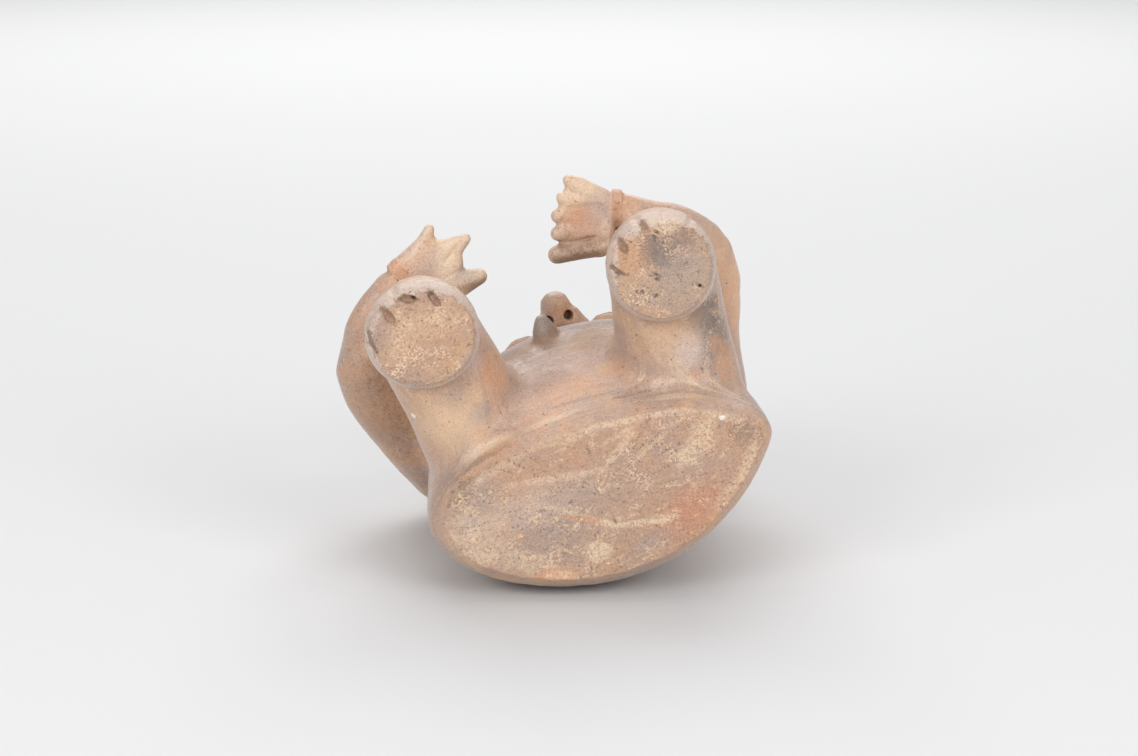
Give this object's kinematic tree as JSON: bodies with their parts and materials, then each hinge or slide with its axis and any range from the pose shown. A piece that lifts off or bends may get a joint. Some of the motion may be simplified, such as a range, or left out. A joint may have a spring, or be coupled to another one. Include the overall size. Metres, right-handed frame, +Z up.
{
  "type": "hollow clay slab figure",
  "caption": "Hollow fired-clay seated slab figure lying on its back: flat seat, stub legs with notched toes, roll arms, paddle hands and a broad slab head.",
  "frame": {"origin": "under the middle of the whole figure, on the surface that it lies on", "axes": "+Z up, +Y from the flat seat towards the head, the figure's front facing up; laid on its back, rolled 16.5 degrees onto the worn flat of the back wall"},
  "size_m": [0.209, 0.249, 0.1842],
  "materials": {
    "tan_clay": "smoothed and partly burnished tan fired clay with orange and grey fire clouds",
    "grey_clay": "smoothed grey-brown fired clay",
    "seat_clay": "scraped matte fired clay with pale mineral streaks",
    "sole_clay": "gritty matte fired clay with a pale burnished rim",
    "hand_clay": "smoothed cream and orange fired clay",
    "red_clay": "red-orange slipped clay",
    "pale_clay": "pale smoothed fired clay"
  },
  "bodies": {
    "root": {"body_front_wall": "tan_clay", "right_leg": "tan_clay", "left_leg": "tan_clay", "right_upper_arm": "tan_clay", "left_upper_arm": "tan_clay", "right_forearm": "tan_clay", "left_forearm": "tan_clay", "head_front_slab": "tan_clay", "nose": "tan_clay", "right_ear": "tan_clay", "left_ear": "tan_clay", "body_back_wall": "grey_clay", "head_back_slab": "grey_clay", "navel_nub": "grey_clay", "seat_slab": "seat_clay", "right_foot": "sole_clay", "left_foot": "sole_clay", "right_hand": "hand_clay", "left_hand": "hand_clay", "right_wristband": "red_clay", "left_wristband": "red_clay", "mouth": "red_clay", "right_eye": "pale_clay", "left_eye": "pale_clay"}
  },
  "joints": []
}
